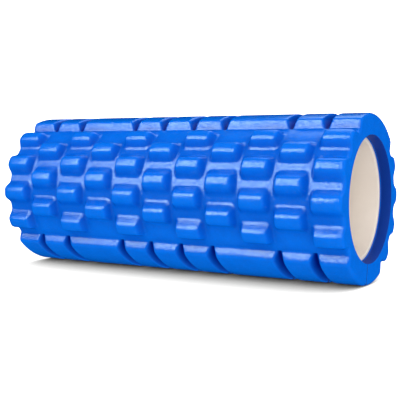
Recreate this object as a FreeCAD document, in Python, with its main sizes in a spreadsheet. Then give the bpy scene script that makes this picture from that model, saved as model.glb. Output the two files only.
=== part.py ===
"""Textured foam massage roller: a rigid tube inside a wrapped, moulded foam sleeve.

The roller's axis runs along +X and the roller lies on its side, +Z up.  The origin is on
the surface that it lies on, under the middle of the axis.  Lengths are in millimetres and
angles in degrees.

The sleeve carries two opposite zones of staggered nubs and, between them, two opposite
bands of long flat blocks.  Its sheet closes in one glued butt seam in the lower band.
Each sub-part is modelled about its own X axis with the middle of the upper nub zone on +Z,
and its Placement turns it to how the roller lies and lifts it off the surface.
"""
import FreeCAD, Part
import math
import os

import Sketcher
from FreeCAD import Placement, Rotation, Vector

DIMENSIONS = {
    # whole roller
    "roller_length": 330.0,
    "bore_radius": 48.8,
    "tube_radius": 51.9,
    "tube_recess": 10.0,
    "tube_edge_break": 0.6,
    "glue_film": 0.3,
    # foam sleeve
    "base_radius": 62.0,
    "block_radius": 69.0,
    "nub_radius": 70.0,
    "end_break": 2.5,
    # nub grid: columns along the axis, rows around it
    "column_pitch": 30.4,
    "row_angle": 12.4,
    # one nub: its base, the shoulder below its crown, and the crown
    "nub_root": 1.5,
    "nub_base_length": 28.4,
    "nub_base_width": 19.7,
    "nub_shoulder_drop": 3.0,
    "nub_shoulder_length": 24.6,
    "nub_shoulder_width": 12.7,
    "nub_crown_length": 20.0,
    "nub_crown_width": 4.5,
    # bands of flat blocks, and the channels between the blocks
    "band_base_angle": 38.0,
    "band_top_angle": 33.0,
    "channel_base_width": 3.5,
    "channel_top_width": 8.0,
    # how the sleeve lies, and its seam
    "zone_turn": 77.7,
    "seam_angle": 93.7,
    "seam_gap": 0.4,
}

# nubs along the axis and rows around it, in one zone: every other row is set half way along
ODD_ROW_COLUMNS = 6
EVEN_ROW_COLUMNS = 5
ODD_ROWS = 4
EVEN_ROWS = 3
# channel middles, in column pitches from the middle of the roller
CHANNEL_COLUMNS = (-4.5, -3.5, -1.5, -0.5, 0.5, 1.5, 3.5, 4.5)
# how far a cutting shape reaches past what it cuts
CLEARANCE = 1.0
# a turn about X of any size but zero, so that the axis is kept when its angle is bound
START_TURN = Placement(Vector(0, 0, 0), Rotation(Vector(1, 0, 0), 1))

document = FreeCAD.newDocument("foam_roller")
sheet = document.addObject("Spreadsheet::Sheet", "sizes")


def fill_sheet():
    """Put every driving dimension in the sheet, under its own alias."""
    for row, (alias, value) in enumerate(DIMENSIONS.items(), start=1):
        sheet.set(f"A{row}", alias)
        sheet.set(f"B{row}", str(value))
        sheet.setAlias(f"B{row}", alias)
    document.recompute()


def size(alias):
    """The expression for one cell of the sheet."""
    return f"{sheet.Name}.{alias}"


def origin_item(body, role):
    """One of the body's own origin planes or axes."""
    return next(item for item in body.Origin.OriginFeatures if item.Role == role)


def new_body(name):
    body = document.addObject("PartDesign::Body", name)
    body.Label = name
    return body


def new_sketch(body, name, plane):
    sketch = body.newObject("Sketcher::SketchObject", name)
    sketch.AttachmentSupport = [(origin_item(body, plane), "")]
    sketch.MapMode = "FlatFace"
    return sketch


def bind(sketch, name, constraint, expression):
    """Add one named dimension to a sketch and bind it to an expression."""
    index = sketch.addConstraint(constraint)
    sketch.renameConstraint(index, name)
    sketch.setExpression(f"Constraints.{name}", expression)


def ring_sketch(body, name, inner, outer):
    """Two circles about the roller's axis."""
    sketch = new_sketch(body, name, "YZ_Plane")
    start_radii = (sheet.get("bore_radius"), sheet.get("nub_radius"))
    for index, (label, expression) in enumerate((("inner", inner), ("outer", outer))):
        start_radius = start_radii[index]
        sketch.addGeometry(Part.Circle(Vector(0, 0, 0), Vector(0, 0, 1), start_radius))
        sketch.addConstraint(Sketcher.Constraint("Coincident", index, 3, -1, 1))
        bind(sketch, label, Sketcher.Constraint("Radius", index, start_radius), expression)
    return sketch


def add_pad(body, name, sketch, length):
    """A pad of the sketch, half of its length each way along X."""
    pad = body.newObject("PartDesign::Pad", name)
    pad.Profile = sketch
    pad.SideType = "Symmetric"
    pad.setExpression("Length", length)
    document.recompute()
    return pad


def end_edges(feature, radius):
    """Names of the feature's circular edges of one radius."""
    names = []
    for index, edge in enumerate(feature.Shape.Edges, start=1):
        if isinstance(edge.Curve, Part.Circle) and abs(edge.Curve.Radius - radius) < 1e-6:
            names.append(f"Edge{index}")
    return names


def place(item):
    """Turn a sub-part to how the roller lies, and lift it so that it rests on z = 0."""
    item.Placement = START_TURN
    item.setExpression("Placement.Rotation.Angle", f"{size('zone_turn')} * 1 deg")
    item.setExpression("Placement.Base.z", f"{size('block_radius')} * 1 mm")


def make_core_tube():
    """The rigid tube, with its four end edges broken."""
    body = new_body("core_tube")
    sketch = ring_sketch(body, "tube_section", size("bore_radius"), size("tube_radius"))
    length = f"{size('roller_length')} - 2 * {size('tube_recess')}"
    pad = add_pad(body, "tube_wall", sketch, length)
    edges = end_edges(pad, sheet.get("bore_radius")) + end_edges(pad, sheet.get("tube_radius"))
    chamfer = body.newObject("PartDesign::Chamfer", "tube_edge_breaks")
    chamfer.Base = (pad, edges)
    chamfer.setExpression("Size", size("tube_edge_break"))
    body.Tip = chamfer
    place(body)
    return body


def make_core_adhesive():
    """The film of glue that bonds the sleeve to the tube."""
    body = new_body("core_adhesive")
    film_radius = f"{size('tube_radius')} + {size('glue_film')}"
    sketch = ring_sketch(body, "film_section", size("tube_radius"), film_radius)
    length = f"{size('roller_length')} - 2 * {size('tube_recess')} - 2 * {size('tube_edge_break')}"
    body.Tip = add_pad(body, "film", sketch, length)
    place(body)
    return body


def add_arc(sketch, label, start_radius, half_angle, radius):
    """An arc about the roller's axis, even about the sketch's first axis."""
    circle = Part.Circle(Vector(0, 0, 0), Vector(0, 0, 1), start_radius)
    arc = sketch.addGeometry(Part.ArcOfCircle(circle, -half_angle, half_angle))
    sketch.addConstraint(Sketcher.Constraint("Coincident", arc, 3, -1, 1))
    sketch.addConstraint(Sketcher.Constraint("Symmetric", arc, 1, arc, 2, -1))
    bind(sketch, f"{label}_radius", Sketcher.Constraint("Radius", arc, start_radius), radius)
    return arc


def add_spoke(sketch, label, arc, half_angle, angle):
    """A construction line from the axis to the arc's end, which sets the arc's half angle."""
    line = Part.LineSegment(Vector(0, 0, 0), sketch.Geometry[arc].EndPoint)
    spoke = sketch.addGeometry(line, True)
    sketch.addConstraint(Sketcher.Constraint("Coincident", spoke, 1, -1, 1))
    sketch.addConstraint(Sketcher.Constraint("Coincident", spoke, 2, arc, 2))
    constraint = Sketcher.Constraint("Angle", -1, 1, spoke, 1, half_angle)
    bind(sketch, f"{label}_angle", constraint, f"{angle} * 1 deg")


def join_ends(sketch, inner, outer):
    """Straight sides between the ends of two arcs."""
    arcs = [sketch.Geometry[inner], sketch.Geometry[outer]]
    ends = ((1, [arc.StartPoint for arc in arcs]), (2, [arc.EndPoint for arc in arcs]))
    for end, points in ends:
        side = sketch.addGeometry(Part.LineSegment(*points))
        sketch.addConstraint(Sketcher.Constraint("Coincident", side, 1, inner, end))
        sketch.addConstraint(Sketcher.Constraint("Coincident", side, 2, outer, end))


def add_band(body):
    """Both bands of flat blocks, before their channels are cut."""
    sketch = new_sketch(body, "band_section", "YZ_Plane")
    base_half = math.radians(sheet.get("band_base_angle"))
    top_half = math.radians(sheet.get("band_top_angle"))
    base_radius = f"({size('base_radius')} - {size('nub_root')})"
    inner = add_arc(sketch, "inner", sheet.get("base_radius"), base_half, base_radius)
    outer = add_arc(sketch, "outer", sheet.get("block_radius"), top_half, size("block_radius"))
    join_ends(sketch, inner, outer)
    add_spoke(sketch, "inner", inner, base_half, size("band_base_angle"))
    add_spoke(sketch, "outer", outer, top_half, size("band_top_angle"))
    band = add_pad(body, "band", sketch, size("roller_length"))
    pattern = body.newObject("PartDesign::PolarPattern", "both_bands")
    pattern.Originals = [band]
    pattern.Axis = (origin_item(body, "X_Axis"), [""])
    pattern.Angle = 360
    pattern.Occurrences = 2
    body.Tip = pattern
    document.recompute()


def add_outline(sketch, label, corners):
    """A closed outline of straight sides.  Each corner is a start point and two expressions."""
    first = sketch.GeometryCount
    count = len(corners)
    for index in range(count):
        start, following = corners[index][0], corners[(index + 1) % count][0]
        sketch.addGeometry(Part.LineSegment(start, following))
    for index in range(count):
        sketch.addConstraint(Sketcher.Constraint(
            "Coincident", first + index, 2, first + (index + 1) % count, 1))
    for index, (start, along, radius) in enumerate(corners):
        bind(sketch, f"{label}_x_{index}",
             Sketcher.Constraint("DistanceX", -1, 1, first + index, 1, start.x), along)
        bind(sketch, f"{label}_z_{index}",
             Sketcher.Constraint("DistanceY", -1, 1, first + index, 1, start.y), radius)


def add_groove(body, name, sketch):
    """Cut the sketch all the way round the roller's axis."""
    groove = body.newObject("PartDesign::Groove", name)
    groove.Profile = sketch
    groove.ReferenceAxis = (sketch, ["H_Axis"])
    groove.Angle = 360
    body.Tip = groove
    document.recompute()


def cut_channels(body):
    """Channels around the bands, which leave the flat blocks between them."""
    sketch = new_sketch(body, "channel_section", "XZ_Plane")
    bottom = size("base_radius")
    top = f"({size('block_radius')} + {CLEARANCE})"
    corner_kinds = (("base", -0.5, bottom), ("top", -0.5, top),
                    ("top", 0.5, top), ("base", 0.5, bottom))
    for number, column in enumerate(CHANNEL_COLUMNS):
        middle = column * sheet.get("column_pitch")
        corners = []
        for level, side, radius in corner_kinds:
            width = sheet.get(f"channel_{level}_width")
            height = sheet.get("base_radius") if level == "base" else sheet.get("nub_radius")
            along = (f"{column} * {size('column_pitch')}"
                     f" + {side} * {size(f'channel_{level}_width')}")
            corners.append((Vector(middle + side * width, height, 0), along, radius))
        add_outline(sketch, f"channel_{number}", corners)
    add_groove(body, "channels", sketch)


def nub_section(body, name, radius, length, width, column, angle):
    """A rectangle across one nub, at one height, square to the nub's own middle line."""
    sketch = new_sketch(body, name, "XY_Plane")
    half_length = sheet.get("nub_crown_length") / 2
    half_width = sheet.get("nub_crown_width") / 2
    corners = [Vector(half_length * along, half_width * around, 0)
               for along, around in ((-1, -1), (1, -1), (1, 1), (-1, 1))]
    for index in range(4):
        sketch.addGeometry(Part.LineSegment(corners[index], corners[(index + 1) % 4]))
    for index in range(4):
        sketch.addConstraint(Sketcher.Constraint("Coincident", index, 2, (index + 1) % 4, 1))
        kind = "Horizontal" if index % 2 == 0 else "Vertical"
        sketch.addConstraint(Sketcher.Constraint(kind, index))
    sketch.addConstraint(Sketcher.Constraint("Symmetric", 0, 1, 2, 1, -1, 1))
    bind(sketch, "length", Sketcher.Constraint("DistanceX", 0, 1, 0, 2, 2 * half_length), length)
    bind(sketch, "width", Sketcher.Constraint("DistanceY", 1, 1, 1, 2, 2 * half_width), width)
    sketch.AttachmentOffset = START_TURN
    sketch.setExpression("AttachmentOffset.Base.x", f"{column} * {size('column_pitch')} * 1 mm")
    sketch.setExpression("AttachmentOffset.Base.y",
                         f"-({radius}) * sin({angle} * 1 deg) * 1 mm")
    sketch.setExpression("AttachmentOffset.Base.z",
                         f"({radius}) * cos({angle} * 1 deg) * 1 mm")
    sketch.setExpression("AttachmentOffset.Rotation.Angle", f"{angle} * 1 deg")
    return sketch


def add_nub_rows(body, label, first_column, first_row, columns, rows):
    """Every nub of the odd or of the even rows, in both nub zones."""
    angle = f"({first_row} * {size('row_angle')})"
    levels = (
        ("root", f"{size('base_radius')} - {size('nub_root')}",
         size("nub_base_length"), size("nub_base_width")),
        ("shoulder", f"{size('nub_radius')} - {size('nub_shoulder_drop')}",
         size("nub_shoulder_length"), size("nub_shoulder_width")),
        ("crown", size("nub_radius"), size("nub_crown_length"), size("nub_crown_width")),
    )
    sections = [nub_section(body, f"{label}_{level}", radius, length, width, first_column, angle)
                for level, radius, length, width in levels]
    nub = body.newObject("PartDesign::AdditiveLoft", f"{label}_nub")
    nub.Profile = sections[0]
    nub.Sections = sections[1:]
    nub.Ruled = True
    document.recompute()
    axis = origin_item(body, "X_Axis")
    along = body.newObject("PartDesign::LinearPattern", f"{label}_columns")
    along.Direction = (axis, [""])
    along.Mode = "Spacing"
    along.setExpression("Offset", f"2 * {size('column_pitch')}")
    along.Occurrences = columns
    around = body.newObject("PartDesign::PolarPattern", f"{label}_rows")
    around.Axis = (axis, [""])
    around.Mode = "Spacing"
    around.setExpression("Offset", f"2 * {size('row_angle')} * 1 deg")
    around.Occurrences = rows
    opposite = body.newObject("PartDesign::PolarPattern", f"{label}_zones")
    opposite.Axis = (axis, [""])
    opposite.Angle = 360
    opposite.Occurrences = 2
    every = body.newObject("PartDesign::MultiTransform", f"{label}_nubs")
    every.Originals = [nub]
    every.Transformations = [along, around, opposite]
    body.Tip = every
    document.recompute()


def trim_ends(body):
    """Trim the raised shapes flush with the sleeve's ends, and take off their outer corners."""
    sketch = new_sketch(body, "end_corners", "XZ_Plane")
    end = f"({size('roller_length')} / 2)"
    end_start = sheet.get("roller_length") / 2
    low_start = sheet.get("base_radius") - sheet.get("nub_root") - CLEARANCE
    top_start = sheet.get("nub_radius")
    break_start = sheet.get("end_break")
    low = (f"({size('base_radius')} - {size('nub_root')} - {CLEARANCE})", low_start)
    corner = (f"({size('nub_radius')} - {size('end_break')})", top_start - break_start)
    top = (size("nub_radius"), top_start)
    above = (f"({size('nub_radius')} + {CLEARANCE})", top_start + CLEARANCE)
    outline = ((0, low), (0, corner), (-1, top), (-1, above), (1, above), (1, low))
    for label, side in (("right", 1), ("left", -1)):
        corners = []
        for step, (radius, height) in outline:
            start = Vector(side * (end_start + step * break_start), height, 0)
            along = f"{side} * ({end} + {step} * {size('end_break')})"
            corners.append((start, along, radius))
        add_outline(sketch, label, corners)
    add_groove(body, "end_breaks", sketch)


def make_sleeve_blank():
    """The moulded sleeve as one closed ring, before its seam is cut."""
    body = new_body("sleeve_blank")
    bore = f"{size('tube_radius')} + {size('glue_film')}"
    sketch = ring_sketch(body, "sleeve_section", bore, size("base_radius"))
    body.Tip = add_pad(body, "sleeve_wall", sketch, size("roller_length"))
    add_band(body)
    cut_channels(body)
    add_nub_rows(body, "odd", -5, -3, ODD_ROW_COLUMNS, ODD_ROWS)
    add_nub_rows(body, "even", -4, -2, EVEN_ROW_COLUMNS, EVEN_ROWS)
    trim_ends(body)
    return body


def make_seam_plate():
    """A thin radial plate where the two ends of the wrapped sheet meet."""
    plate = document.addObject("Part::Box", "seam_plate")
    plate.setExpression("Length", f"{size('roller_length')} + 2 * {CLEARANCE}")
    plate.setExpression("Width", size("seam_gap"))
    plate.setExpression("Height", f"{size('nub_radius')} + {CLEARANCE}")
    plate.Placement = START_TURN
    angle = f"{size('seam_angle')} * 1 deg"
    plate.setExpression("Placement.Rotation.Angle", angle)
    plate.setExpression("Placement.Base.x", f"-({size('roller_length')} / 2 + {CLEARANCE}) * 1 mm")
    plate.setExpression("Placement.Base.y", f"-{size('seam_gap')} / 2 * cos({angle}) * 1 mm")
    plate.setExpression("Placement.Base.z", f"-{size('seam_gap')} / 2 * sin({angle}) * 1 mm")
    return plate


def make_from_blank(kind, name, blank, plate):
    """A boolean of the sleeve blank and the seam plate, as a sub-part of its own."""
    item = document.addObject(kind, name)
    item.Label = name
    item.Base = blank
    item.Tool = plate
    place(item)
    return item


def problems():
    """What stops the document from being written, in words."""
    found = []
    for item in document.Objects:
        if "Invalid" in item.State or "Error" in item.State:
            found.append(f"{item.Name} is {item.State}")
    for item in sub_parts:
        if item.Shape.isNull() or not item.Shape.isValid():
            found.append(f"{item.Label} has no valid shape")
    return found


fill_sheet()
core_tube = make_core_tube()
core_adhesive = make_core_adhesive()
sleeve_blank = make_sleeve_blank()
seam_plate = make_seam_plate()
foam_sleeve = make_from_blank("Part::Cut", "foam_sleeve", sleeve_blank, seam_plate)
seam_adhesive = make_from_blank("Part::Common", "seam_adhesive", sleeve_blank, seam_plate)
sub_parts = (core_tube, core_adhesive, foam_sleeve, seam_adhesive)

document.recompute()
if problems():
    raise RuntimeError("; ".join(problems()))

os.makedirs("parts", exist_ok=True)
for sub_part in sub_parts:
    sub_part.Shape.exportStep(f"parts/{sub_part.Label}.step")
    box = sub_part.Shape.BoundBox
    print(f"{sub_part.Label}: {sub_part.Shape.Volume / 1000:.1f} cm3, "
          f"{len(sub_part.Shape.Solids)} solid, {len(sub_part.Shape.Faces)} faces, "
          f"x {box.XMin:.2f} {box.XMax:.2f}, y {box.YMin:.2f} {box.YMax:.2f}, "
          f"z {box.ZMin:.2f} {box.ZMax:.2f}")
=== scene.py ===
"""Looks of the textured foam roller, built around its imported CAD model.

The moulded foam sleeve is a mesh of its own: one closed skin whose outer radius is a formula
of the place along the axis and the angle around it.  The rigid core tube and both glue films
keep their CAD meshes and get procedural materials.  Sizes are in metres unless a name says
otherwise, and angles around the axis are in degrees, from the front (-Y) upwards.
"""

import math

import bpy
import numpy as np
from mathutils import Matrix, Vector


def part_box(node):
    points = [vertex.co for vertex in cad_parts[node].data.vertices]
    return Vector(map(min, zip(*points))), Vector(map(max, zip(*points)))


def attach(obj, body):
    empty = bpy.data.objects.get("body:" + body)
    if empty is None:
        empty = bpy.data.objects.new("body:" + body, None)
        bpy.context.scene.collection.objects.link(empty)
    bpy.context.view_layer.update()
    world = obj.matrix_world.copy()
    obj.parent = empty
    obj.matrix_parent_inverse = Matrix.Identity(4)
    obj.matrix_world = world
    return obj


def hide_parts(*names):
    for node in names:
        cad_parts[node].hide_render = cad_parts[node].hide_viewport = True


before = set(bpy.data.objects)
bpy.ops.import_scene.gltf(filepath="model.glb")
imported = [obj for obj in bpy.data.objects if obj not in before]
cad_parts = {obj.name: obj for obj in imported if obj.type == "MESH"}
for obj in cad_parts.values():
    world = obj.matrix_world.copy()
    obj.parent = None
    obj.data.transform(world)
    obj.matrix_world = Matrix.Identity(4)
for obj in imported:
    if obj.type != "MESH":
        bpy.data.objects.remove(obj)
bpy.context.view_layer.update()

MM = 0.001

# ---------------------------------------------------------------- places read from the frame
SLEEVE_LOW, SLEEVE_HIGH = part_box("foam_sleeve")
TUBE_LOW, TUBE_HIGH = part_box("core_tube")
LENGTH = SLEEVE_HIGH.x - SLEEVE_LOW.x
HALF_LENGTH = LENGTH / 2
AXIS_HEIGHT = (SLEEVE_LOW.z + SLEEVE_HIGH.z) / 2
BLOCK_RADIUS = AXIS_HEIGHT - SLEEVE_LOW.z
NUB_RADIUS = SLEEVE_HIGH.y
GLUE_FILM = 0.3 * MM
FOAM_BORE_RADIUS = (TUBE_HIGH.z - TUBE_LOW.z) / 2 + GLUE_FILM

# ---------------------------------------------------------------- the moulded pattern
BASE_RADIUS = 62.0 * MM
PITCH = LENGTH / 330.0 * 30.4  # between neighbouring columns of nubs
ROW_STEP = 12.4                # degrees between neighbouring rows of nubs
ZONE_MIDDLE = 12.3             # degrees: middle row of the front nub zone, which is row 0
LAST_COLUMN = 5                # columns run from -5 to 5
LAST_ODD_ROW = 3               # odd columns have rows -3, -1, 1 and 3
LAST_EVEN_ROW = 2              # even columns have rows -2, 0 and 2

NUB_HALF_LENGTH = 14.2 * MM    # at its base, along the axis
NUB_HALF_WIDTH = 9.85 * MM     # at its base, around the axis
NUB_DRAFT = 35.0               # degrees, of the long side walls
NUB_EDGE_RADIUS = 4.8 * MM     # fillet between a side wall and the crown
NUB_END_SHARE = 0.65           # an end wall and its fillet, as a share of a side wall's run
NUB_CROWN_RADIUS = 24.0 * MM   # extra bulge of the crown over the drum's own curve
NUB_CAMBER_RADIUS = 160.0 * MM  # and the same along the axis
NUB_CROWN_LEAST = 0.3          # share of the height that the bulge leaves at the least
NUB_CORNER_POWER = 2.6         # roundness of the corners in plan
ROOT_BLEND = 2.0 * MM          # height over which a nub's wall blends into the base surface
CHANNEL_BLEND = 1.0 * MM       # the same, within the bands

BAND_HALF_ANGLE = 38.0         # degrees at the base surface
BAND_FOOT_SLOPE = 1.85         # rise over run at the foot of the band's long edges
BAND_WALL_BEND = 72.0          # how fast that slope eases further in, per metre
BAND_WALL_REACH = 10.0 * MM    # past which it eases no more
CHANNEL_HALF_WIDTH = 1.4 * MM  # at the base surface
CHANNEL_WALL_SLOPE = 2.4       # rise over run
CHANNEL_DEPTH = 4.0 * MM       # below the base surface
CHANNEL_END_RUN = 4.0 * MM     # over which a channel's floor sinks from the band's long edge
BLOCK_CORNER_BLEND = 4.2 * MM  # height over which a block's long edge blends into its ends
BLOCK_EDGE_BLEND = 1.4 * MM    # and its walls into its top
OPEN_BOUNDARIES = (0, 1, 3, 4)  # column boundaries, from the middle out, that carry a channel

# ---------------------------------------------------------------- the sleeve's ends and seam
END_EDGE_RADIUS = 2.8 * MM     # between the moulded surface and an end face
LIP_RADIUS = 51.3 * MM         # the foam draws in a little past the tube's ends
LIP_EASE = 2.0 * MM            # length over which it does
BORE_EDGE_RADIUS = 0.6 * MM    # between an end face and the lip
SEAM_ANGLE = -81.4             # degrees
SEAM_WIDTH = 0.5 * MM
SEAM_DEPTH = 0.8 * MM

# ---------------------------------------------------------------- how fine the mesh is
FINE_STEP = 0.62 * MM
COARSE_STEP = 1.6 * MM
NUB_END_REACH = 5.2 * MM       # of a nub's end that gets fine lines
BAND_EDGE_REACH = 8.0          # degrees past a band's long edge that get them
SEAM_LINES = 12                # to each side of the seam
EDGE_RINGS = 6                 # on the rounding of an end's outer edge
FACE_RINGS = 8                 # across an end face
BORE_RINGS = 32                # along the glued part of the bore

# ---------------------------------------------------------------- colours and shading
FOAM_DARK, FOAM_LIGHT = (0.0, 0.175, 0.90), (0.0, 0.195, 0.97)
# painted shade: the darkest blue, mixed in where the moulded shape closes in on itself
FOAM_PAINTED_SHADE = (0.0, 0.015, 0.34)
FOAM_BORE_DARK = (0.0, 0.045, 0.38)  # a darker blue on the sleeve's own bore, which has no moulded skin
TUBE_DARK, TUBE_LIGHT = (0.84, 0.755, 0.665), (0.89, 0.81, 0.725)
GLUE_DARK, GLUE_LIGHT = (0.0, 0.03, 0.14), (0.01, 0.06, 0.26)
RAW_ROUGHNESS = 0.6
RAW_GLOSS = 0.12
NOISE_LOW, NOISE_HIGH = 0.3, 0.7  # noise values that a spread or a tint starts and ends at
CREASE_REACH = 14.0 * MM       # how far off the surface opposite still adds painted shade to a crease
CREASE_CLOSED, CREASE_OPEN = 0.3, 1.0  # openness at which the painted crease shade is at its deepest, and gone
OPENNESS_SAMPLES = 16

# ---------------------------------------------------------------- studio and camera
WORLD_STRENGTH = 0.9
WORLD_SLOPE = (0.16, -0.12, 0.18)  # more light from the right, the front and above
SOFTBOX_COLOUR = (0.72, 1.0, 1.0)
SOFTBOX_DISTANCE = 1.6
BORE_LAMP_DISTANCE = 1.2
SHADOW_REACH = 0.3             # how far the painted shadow of the roller reaches on the paper
PAPER_GAIN = 2.1               # glow of the open paper, past white
CAMERA_LENS = 73.2             # millimetres, on a sensor 36 wide
CAMERA_SENSOR = 36.0
CAMERA_PLACE = (0.3743, -0.6280, 0.0424)  # from the middle of the roller's axis
CAMERA_DIRECTION = (-0.5046, 0.8608, -0.0661)


def soft_min(one, other, blend):
    """The smaller of two heights, rounded where they meet."""
    overlap = np.maximum(blend - np.abs(one - other), 0)
    return np.minimum(one, other) - overlap ** 2 / (4 * blend)


def soft_max(one, other, blend):
    """The larger of two heights, rounded where they meet."""
    return -soft_min(-one, -other, blend)


def nub_profile(inset, height):
    """Height of a nub at a distance inside its base edge, and where its flat top starts."""
    draft = math.radians(NUB_DRAFT)
    tangent = NUB_EDGE_RADIUS * math.tan((math.pi / 2 - draft) / 2)
    flat_from = height * math.tan(draft) + tangent
    fillet_from = height * math.tan(draft) - tangent * math.sin(draft)
    wall = inset / math.tan(draft)
    reach = np.clip(flat_from - inset, 0, NUB_EDGE_RADIUS)
    fillet = height - NUB_EDGE_RADIUS + np.sqrt(NUB_EDGE_RADIUS ** 2 - reach ** 2)
    return np.where(inset < fillet_from, wall, fillet), flat_from


def nub_height(x, angle):
    """Height of the nubs over the base surface."""
    height = NUB_RADIUS - BASE_RADIUS
    column = np.clip(np.round(x / PITCH), -LAST_COLUMN, LAST_COLUMN)
    along = np.abs(x - column * PITCH)
    row = ((angle - ZONE_MIDDLE + 90) % 180 - 90) / ROW_STEP
    odd_row = np.clip(2 * np.round((row - 1) / 2) + 1, -LAST_ODD_ROW, LAST_ODD_ROW)
    even_row = np.clip(2 * np.round(row / 2), -LAST_EVEN_ROW, LAST_EVEN_ROW)
    nearest = np.where(column % 2 == 1, odd_row, even_row)
    around = np.abs(row - nearest) * math.radians(ROW_STEP) * BASE_RADIUS
    run = nub_profile(np.zeros(1), height)[1]
    end_run = run * NUB_END_SHARE
    end_part = np.maximum(along - NUB_HALF_LENGTH + end_run, 0) / end_run
    side_part = np.maximum(around - NUB_HALF_WIDTH + run, 0) / run
    power = NUB_CORNER_POWER
    edge = (end_part ** power + side_part ** power) ** (1 / power)
    fall = around ** 2 / (2 * NUB_CROWN_RADIUS) + along ** 2 / (2 * NUB_CAMBER_RADIUS)
    crown = np.maximum(1 - fall / height, NUB_CROWN_LEAST)
    return nub_profile((1 - edge) * run, height)[0] * crown


def inside_band(angle):
    """Distance inside the nearest long edge of a band, negative outside the bands."""
    off_middle = np.abs((angle - ZONE_MIDDLE) % 180 - 90)
    return np.radians(BAND_HALF_ANGLE - off_middle) * BASE_RADIUS


def block_height(x, angle):
    """Height of the long flat blocks over the base surface, with the channels between them."""
    reach = np.minimum(inside_band(angle), BAND_WALL_REACH)
    front = reach * (BAND_FOOT_SLOPE - reach * BAND_WALL_BEND)
    from_boundary = np.abs(x / PITCH - (np.floor(x / PITCH) + 0.5)) * PITCH
    boundary = np.abs(np.floor(x / PITCH) + 0.5) - 0.5
    open_here = np.isin(np.round(boundary), OPEN_BOUNDARIES)
    side = np.where(open_here, (from_boundary - CHANNEL_HALF_WIDTH) * CHANNEL_WALL_SLOPE, PITCH)
    walls = soft_min(front, side, BLOCK_CORNER_BLEND)
    return soft_min(walls, np.full_like(walls, BLOCK_RADIUS - BASE_RADIUS), BLOCK_EDGE_BLEND)


def outer_radius(x, angle):
    """Radius of the sleeve's moulded surface."""
    inside = inside_band(angle)
    floor = -CHANNEL_DEPTH * np.clip(inside / CHANNEL_END_RUN, 0, 1)
    blend = np.where(inside > 0, CHANNEL_BLEND, ROOT_BLEND)
    raised = np.maximum(nub_height(x, angle), block_height(x, angle))
    return BASE_RADIUS + soft_max(raised, floor, blend)


def seam_cut(angle):
    """Depth of the groove at the glued seam, along the roller and across its end faces."""
    off = (angle - SEAM_ANGLE + 180) % 360 - 180
    distance = np.radians(off) * BLOCK_RADIUS
    return SEAM_DEPTH * np.exp(-(distance / SEAM_WIDTH) ** 2 * 2)


def graded(low, high, step):
    """Evenly spread places from low up to, but without, high, at most a step apart."""
    count = max(1, math.ceil((high - low) / step - 1e-6))
    return list(low + (high - low) * np.arange(count) / count)


def lines_along():
    """Places along the axis: fine across the nubs' ends and the channels, coarse on the crowns."""
    flat = NUB_HALF_LENGTH - NUB_END_REACH
    last = HALF_LENGTH - END_EDGE_RADIUS
    places = []
    for column in range(-LAST_COLUMN, LAST_COLUMN + 1):
        middle = column * PITCH
        places += graded(middle - PITCH / 2, middle - flat, FINE_STEP)
        places += graded(middle - flat, middle + flat, COARSE_STEP)
        places += graded(middle + flat, middle + PITCH / 2, FINE_STEP)
    places = [x for x in places if abs(x) < last - FINE_STEP / 2]
    return np.array([-last] + places + [last])


def lines_around():
    """Angles: fine over the nub zones and the bands' long edges, coarse on the blocks.

    Around the seam, lines a third of its width apart take the place of the others.
    """
    fine = math.degrees(FINE_STEP / BLOCK_RADIUS)
    coarse = math.degrees(COARSE_STEP / BLOCK_RADIUS)
    edge = 90 - BAND_HALF_ANGLE + BAND_EDGE_REACH
    angles = []
    for turn in (0, 180):
        middle = ZONE_MIDDLE + turn
        angles += graded(middle - edge, middle + edge, fine)
        angles += graded(middle + edge, middle + 180 - edge, coarse)
    step = math.degrees(SEAM_WIDTH / BLOCK_RADIUS) / 3
    seam = SEAM_ANGLE % 360
    kept = [a % 360 for a in angles if abs(a % 360 - seam) > (SEAM_LINES + 0.6) * step]
    kept += [seam + k * step for k in range(-SEAM_LINES, SEAM_LINES + 1)]
    return np.array(sorted(kept))


def end_rings(side, angles, groove):
    """Rings of one end, from the outer edge's rounding over the end face to the lip's rounding."""
    rim = outer_radius(np.full_like(angles, side * (HALF_LENGTH - END_EDGE_RADIUS)), angles)
    bends = np.linspace(0, math.pi / 2, EDGE_RINGS + 1)[1:]
    rings = []
    for bend in bends:
        x = side * (HALF_LENGTH - END_EDGE_RADIUS * (1 - math.sin(bend)))
        rings.append((x, rim - END_EDGE_RADIUS * (1 - math.cos(bend)) - groove))
    face_outer = rings[-1][1]
    face_inner = LIP_RADIUS + BORE_EDGE_RADIUS
    for share in np.linspace(0, 1, FACE_RINGS + 1)[1:]:
        rings.append((side * (HALF_LENGTH - groove), face_outer + (face_inner - face_outer) * share))
    for bend in bends[::2]:
        x = side * (HALF_LENGTH - BORE_EDGE_RADIUS * (1 - math.cos(bend)))
        radius = LIP_RADIUS + BORE_EDGE_RADIUS * (1 - math.sin(bend))
        rings.append((x, np.full_like(angles, radius)))
    return rings


def bore_rings(angles):
    """Rings of the bore, from the right lip over the glued part to the left lip."""
    tube_end = TUBE_HIGH.x
    places = [(tube_end + LIP_EASE, LIP_RADIUS)]
    places += [(x, FOAM_BORE_RADIUS) for x in np.linspace(tube_end, -tube_end, BORE_RINGS)]
    places += [(-tube_end - LIP_EASE, LIP_RADIUS)]
    return [(x, np.full_like(angles, radius)) for x, radius in places]


def sleeve_rings(angles):
    """Rings of the closed skin, each a place along the axis and a radius for every angle."""
    groove = seam_cut(angles)
    outside = [(x, outer_radius(np.full_like(angles, x), angles) - groove) for x in lines_along()]
    right, left = (end_rings(side, angles, groove) for side in (1, -1))
    return outside + right + bore_rings(angles) + left[::-1]


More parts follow.
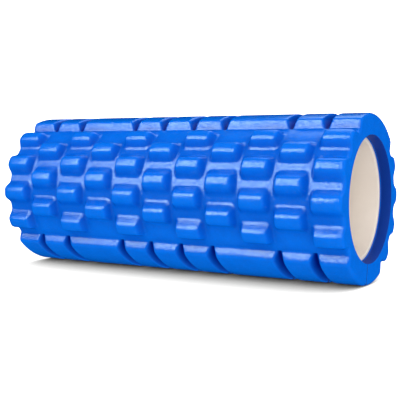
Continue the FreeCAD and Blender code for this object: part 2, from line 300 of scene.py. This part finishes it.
def make_sleeve():
    """The foam sleeve as one closed mesh of quads."""
    angles = lines_around()
    rings = sleeve_rings(angles)
    turn = np.radians(angles)
    points = np.zeros((len(rings), len(angles), 3))
    for index, (x, radius) in enumerate(rings):
        points[index, :, 0] = x
        points[index, :, 1] = -radius * np.cos(turn)
        points[index, :, 2] = AXIS_HEIGHT + radius * np.sin(turn)
    ring, spoke = np.meshgrid(np.arange(len(rings)), np.arange(len(angles)), indexing="ij")
    next_ring = (ring + 1) % len(rings)
    next_spoke = (spoke + 1) % len(angles)
    count = len(angles)
    faces = np.stack([ring * count + spoke, ring * count + next_spoke,
                      next_ring * count + next_spoke, next_ring * count + spoke], axis=-1)
    mesh = bpy.data.meshes.new("foam_sleeve_skin")
    mesh.from_pydata(points.reshape(-1, 3).tolist(), [], faces.reshape(-1, 4).tolist())
    mesh.shade_smooth()
    sleeve = bpy.data.objects.new("foam_sleeve_skin", mesh)
    bpy.context.scene.collection.objects.link(sleeve)
    return sleeve


# ---------------------------------------------------------------- materials
def new_material(name):
    """A node material, with its nodes and its links."""
    material = bpy.data.materials.new(name)
    material.use_nodes = True
    return material, material.node_tree.nodes, material.node_tree.links


def noise(nodes, links, scale, detail, stretch=(1, 1, 1)):
    """Solid noise in the object's own coordinates, in metres, with an optional stretch."""
    place = nodes.new("ShaderNodeTexCoord")
    mapping = nodes.new("ShaderNodeMapping")
    mapping.inputs["Scale"].default_value = stretch
    texture = nodes.new("ShaderNodeTexNoise")
    texture.inputs["Scale"].default_value = scale
    texture.inputs["Detail"].default_value = detail
    links.new(place.outputs["Object"], mapping.inputs["Vector"])
    links.new(mapping.outputs["Vector"], texture.inputs["Vector"])
    return texture


def spread(nodes, links, source, low, high):
    """A noise value spread between two numbers."""
    node = nodes.new("ShaderNodeMapRange")
    node.inputs["From Min"].default_value = NOISE_LOW
    node.inputs["From Max"].default_value = NOISE_HIGH
    node.inputs["To Min"].default_value = low
    node.inputs["To Max"].default_value = high
    links.new(source, node.inputs["Value"])
    return node.outputs["Result"]


def tint(nodes, links, source, dark, light):
    """A colour between two, by a noise value."""
    ramp = nodes.new("ShaderNodeValToRGB")
    ramp.color_ramp.elements[0].position = NOISE_LOW
    ramp.color_ramp.elements[1].position = NOISE_HIGH
    ramp.color_ramp.elements[0].color = (*dark, 1)
    ramp.color_ramp.elements[1].color = (*light, 1)
    links.new(source, ramp.inputs["Fac"])
    return ramp.outputs["Color"]


def bump(nodes, links, source, distance, strength, below=None):
    """A bump node, over another one where there is one."""
    node = nodes.new("ShaderNodeBump")
    node.inputs["Distance"].default_value = distance
    node.inputs["Strength"].default_value = strength
    links.new(source, node.inputs["Height"])
    if below is not None:
        links.new(below, node.inputs["Normal"])
    return node.outputs["Normal"]


def skin_share(nodes, links):
    """1 on the moulded skin and the end faces, 0 on the sleeve's own bore."""
    place = nodes.new("ShaderNodeTexCoord")
    across = nodes.new("ShaderNodeMapping")
    across.inputs["Location"].default_value = (0, 0, -AXIS_HEIGHT)
    across.inputs["Scale"].default_value = (0, 1, 1)
    radius = nodes.new("ShaderNodeVectorMath")
    radius.operation = "LENGTH"
    share = nodes.new("ShaderNodeMapRange")
    share.inputs["From Min"].default_value = LIP_RADIUS + BORE_EDGE_RADIUS / 2
    share.inputs["From Max"].default_value = LIP_RADIUS + BORE_EDGE_RADIUS
    links.new(place.outputs["Object"], across.inputs["Vector"])
    links.new(across.outputs["Vector"], radius.inputs[0])
    links.new(radius.outputs["Value"], share.inputs["Value"])
    return share.outputs["Result"]


def mixed_colour(nodes, links, share, start, end):
    """A colour that goes from a fixed one to a linked one with a share."""
    mix = nodes.new("ShaderNodeMix")
    mix.data_type = "RGBA"
    mix.inputs["A"].default_value = (*start, 1)
    links.new(share, mix.inputs["Factor"])
    links.new(end, mix.inputs["B"])
    return mix.outputs["Result"]


def darker_bore(nodes, links, skin, rough, gloss):
    """Colour, roughness and gloss: the skin's, or on the sleeve's own bore a darker blue, more
    roughness and less gloss.
    """
    share = skin_share(nodes, links)
    # a darker blue on the sleeve's own bore
    colour = mixed_colour(nodes, links, share, FOAM_BORE_DARK, skin)
    matt = nodes.new("ShaderNodeMath")
    matt.operation = "SUBTRACT"
    matt.inputs[0].default_value = RAW_ROUGHNESS
    links.new(share, matt.inputs[1])
    roughest = nodes.new("ShaderNodeMath")
    roughest.operation = "MAXIMUM"
    links.new(matt.outputs["Value"], roughest.inputs[0])
    links.new(rough, roughest.inputs[1])
    sheen = nodes.new("ShaderNodeMapRange")
    sheen.inputs["To Min"].default_value = RAW_GLOSS
    links.new(gloss, sheen.inputs["To Max"])
    links.new(share, sheen.inputs["Value"])
    return colour, roughest.outputs["Value"], sheen.outputs["Result"]


def painted_crease_shade(nodes, links, colour):
    """The colour, with painted shade where the moulded shape closes in on itself."""
    openness = nodes.new("ShaderNodeAmbientOcclusion")
    openness.inputs["Distance"].default_value = CREASE_REACH
    openness.only_local = True
    openness.samples = OPENNESS_SAMPLES
    share = nodes.new("ShaderNodeMapRange")
    share.inputs["From Min"].default_value = CREASE_CLOSED
    share.inputs["From Max"].default_value = CREASE_OPEN
    links.new(openness.outputs["AO"], share.inputs["Value"])
    return mixed_colour(nodes, links, share.outputs["Result"], FOAM_PAINTED_SHADE, colour)


def surface(material, colour, rough, normal):
    """Links a colour, a roughness and a normal to a material's shader, and returns the shader."""
    shader = material.node_tree.nodes["Principled BSDF"]
    links = material.node_tree.links
    links.new(colour, shader.inputs["Base Color"])
    links.new(rough, shader.inputs["Roughness"])
    links.new(normal, shader.inputs["Normal"])
    return shader


def foam_material():
    """Moulded closed-cell foam: saturated blue with a satin skin and a fine pebble."""
    material, nodes, links = new_material("moulded_foam")
    mottle = noise(nodes, links, scale=90, detail=3).outputs["Fac"]
    pebble = noise(nodes, links, scale=1000, detail=2).outputs["Fac"]
    swell = noise(nodes, links, scale=160, detail=2).outputs["Fac"]
    grain = noise(nodes, links, scale=560, detail=1).outputs["Fac"]
    skin = tint(nodes, links, mottle, FOAM_DARK, FOAM_LIGHT)
    satin = spread(nodes, links, pebble, low=0.1, high=0.17)
    gloss = spread(nodes, links, grain, low=0.24, high=0.82)
    # painted shade, darkest in the creases and channels
    shaded = painted_crease_shade(nodes, links, skin)
    colour, rough, sheen = darker_bore(nodes, links, shaded, satin, gloss)
    fine = bump(nodes, links, pebble, distance=0.22 * MM, strength=0.8)
    broad = bump(nodes, links, swell, distance=0.12 * MM, strength=0.35, below=fine)
    shader = surface(material, colour, rough, broad)
    links.new(sheen, shader.inputs["Specular IOR Level"])
    return material


def tube_material():
    """Rigid cream plastic with faint extrusion lines along the bore."""
    material, nodes, links = new_material("core_plastic")
    cloud = noise(nodes, links, scale=30, detail=3).outputs["Fac"]
    lines = noise(nodes, links, scale=700, detail=2, stretch=(0.02, 1, 1)).outputs["Fac"]
    colour = tint(nodes, links, cloud, TUBE_DARK, TUBE_LIGHT)
    rough = spread(nodes, links, lines, low=0.38, high=0.5)
    surface(material, colour, rough, bump(nodes, links, lines, distance=0.05 * MM, strength=0.4))
    return material


def glue_material():
    """Cured contact adhesive, dark and uneven."""
    material, nodes, links = new_material("cured_adhesive")
    lumps = noise(nodes, links, scale=500, detail=3).outputs["Fac"]
    colour = tint(nodes, links, lumps, GLUE_DARK, GLUE_LIGHT)
    rough = spread(nodes, links, lumps, low=0.35, high=0.6)
    surface(material, colour, rough, bump(nodes, links, lumps, distance=0.15 * MM, strength=0.5))
    return material


def paint(obj, material):
    """Puts one material on an object's slots."""
    if not obj.data.materials:
        obj.data.materials.append(material)
    for slot in obj.material_slots:
        slot.material = material


# ---------------------------------------------------------------- studio
def paper_material():
    """White paper that glows evenly, with a painted shadow where the roller stands close over it."""
    material, nodes, links = new_material("studio_paper")
    nodes.remove(nodes["Principled BSDF"])
    # painted shadow: the paper's glow drops where the roller hides the surround
    openness = nodes.new("ShaderNodeAmbientOcclusion")
    openness.inputs["Distance"].default_value = SHADOW_REACH
    openness.samples = OPENNESS_SAMPLES
    gain = nodes.new("ShaderNodeMath")
    gain.operation = "MULTIPLY"
    gain.inputs[1].default_value = PAPER_GAIN
    glow = nodes.new("ShaderNodeEmission")
    links.new(openness.outputs["AO"], gain.inputs[0])
    links.new(gain.outputs["Value"], glow.inputs["Strength"])
    links.new(glow.outputs["Emission"], nodes["Material Output"].inputs["Surface"])
    return material


def make_floor():
    """A pale paper sweep: flat under the roller, rising far behind it on every side."""
    flat, rise, steps = 3.0, 3.0, 12
    profile = [(flat * k / 4, 0.0) for k in range(1, 5)]
    for k in range(1, steps + 1):
        bend = math.pi / 2 * k / steps
        profile.append((flat + rise * math.sin(bend), rise * (1 - math.cos(bend))))
    spokes = 48
    points = [(0.0, 0.0, 0.0)]
    for radius, height in profile:
        for k in range(spokes):
            turn = 2 * math.pi * k / spokes
            points.append((radius * math.cos(turn), radius * math.sin(turn), height))
    faces = [(0, 1 + k, 1 + (k + 1) % spokes) for k in range(spokes)]
    for ring in range(len(profile) - 1):
        low, high = 1 + ring * spokes, 1 + (ring + 1) * spokes
        for k in range(spokes):
            following = (k + 1) % spokes
            faces.append((low + k, high + k, high + following, low + following))
    mesh = bpy.data.meshes.new("paper_sweep")
    mesh.from_pydata(points, [], faces)
    mesh.shade_smooth()
    floor = bpy.data.objects.new("paper_sweep", mesh)
    bpy.context.scene.collection.objects.link(floor)
    paint(floor, paper_material())
    floor.visible_glossy = False
    floor.visible_diffuse = False
    floor.visible_shadow = False


def aim(obj, target):
    """Turns an object's -Z towards a point."""
    obj.rotation_euler = (Vector(target) - obj.location).to_track_quat("-Z", "Y").to_euler()


def area_light(name, target, distance, azimuth, elevation, width, height, power):
    """A softbox around a target; azimuth 0 is the front and turns to the right, in degrees."""
    data = bpy.data.lights.new(name, "AREA")
    data.shape = "RECTANGLE"
    data.size, data.size_y = width, height
    data.energy = power
    light = bpy.data.objects.new(name, data)
    turn, lift = math.radians(azimuth), math.radians(elevation)
    level = math.cos(lift)
    direction = Vector((math.sin(turn) * level, -math.cos(turn) * level, math.sin(lift)))
    light.location = Vector(target) + direction * distance
    bpy.context.scene.collection.objects.link(light)
    aim(light, target)
    return light


def even_world():
    """Soft light from all around, which changes evenly from side to side."""
    world = bpy.data.worlds.new("studio_air")
    world.use_nodes = True
    nodes, links = world.node_tree.nodes, world.node_tree.links
    place = nodes.new("ShaderNodeTexCoord")
    slope = nodes.new("ShaderNodeVectorMath")
    slope.operation = "DOT_PRODUCT"
    slope.inputs[1].default_value = WORLD_SLOPE
    total = nodes.new("ShaderNodeMath")
    total.operation = "ADD"
    total.inputs[1].default_value = WORLD_STRENGTH
    links.new(place.outputs["Generated"], slope.inputs[0])
    links.new(slope.outputs["Value"], total.inputs[0])
    links.new(total.outputs["Value"], nodes["Background"].inputs["Strength"])
    nodes["Background"].inputs["Color"].default_value = (1, 1, 1, 1)
    bpy.context.scene.world = world
    world.cycles_visibility.glossy = False


def light_only(light, obj):
    """Keeps one light to one object."""
    group = bpy.data.collections.new(light.name + "_receivers")
    group.objects.link(obj)
    light.light_linking.receiver_collection = group


def light_studio(target, tube):
    """Softboxes for the highlights, front and back, an even surround, and a lamp for the tube."""
    away = SOFTBOX_DISTANCE
    softboxes = [
        area_light("key", target, away, azimuth=-26, elevation=29, width=1.2, height=1.23, power=31),
        area_light("rim", target, away, azimuth=18, elevation=36, width=0.7, height=1.3, power=11),
        area_light("back", target, away, azimuth=180, elevation=58, width=1.2, height=1.2, power=8),
    ]
    for light in softboxes:
        light.visible_diffuse = False
        light.data.color = SOFTBOX_COLOUR
    bore = area_light("bore", target, BORE_LAMP_DISTANCE, azimuth=35, elevation=5,
                      width=0.6, height=0.6, power=4.7)
    bore.visible_glossy = False
    light_only(bore, tube)
    even_world()


def make_camera(axis_middle):
    """A nearly level camera to the front right, a little above the roller's axis."""
    data = bpy.data.cameras.new("camera")
    data.sensor_width = CAMERA_SENSOR
    data.lens = CAMERA_LENS
    data.clip_start, data.clip_end = 0.01, 50
    camera = bpy.data.objects.new("camera", data)
    camera.location = Vector(axis_middle) + Vector(CAMERA_PLACE)
    bpy.context.scene.collection.objects.link(camera)
    aim(camera, camera.location + Vector(CAMERA_DIRECTION))
    bpy.context.scene.camera = camera


# ---------------------------------------------------------------- the scene
sleeve = make_sleeve()
paint(sleeve, foam_material())
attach(sleeve, "root")
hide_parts("foam_sleeve")

paint(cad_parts["core_tube"], tube_material())
glue = glue_material()
paint(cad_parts["core_adhesive"], glue)
paint(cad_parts["seam_adhesive"], glue)

middle = (0.0, 0.0, AXIS_HEIGHT)
make_floor()
light_studio(middle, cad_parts["core_tube"])
make_camera(middle)
bpy.context.scene.view_settings.view_transform = "Standard"
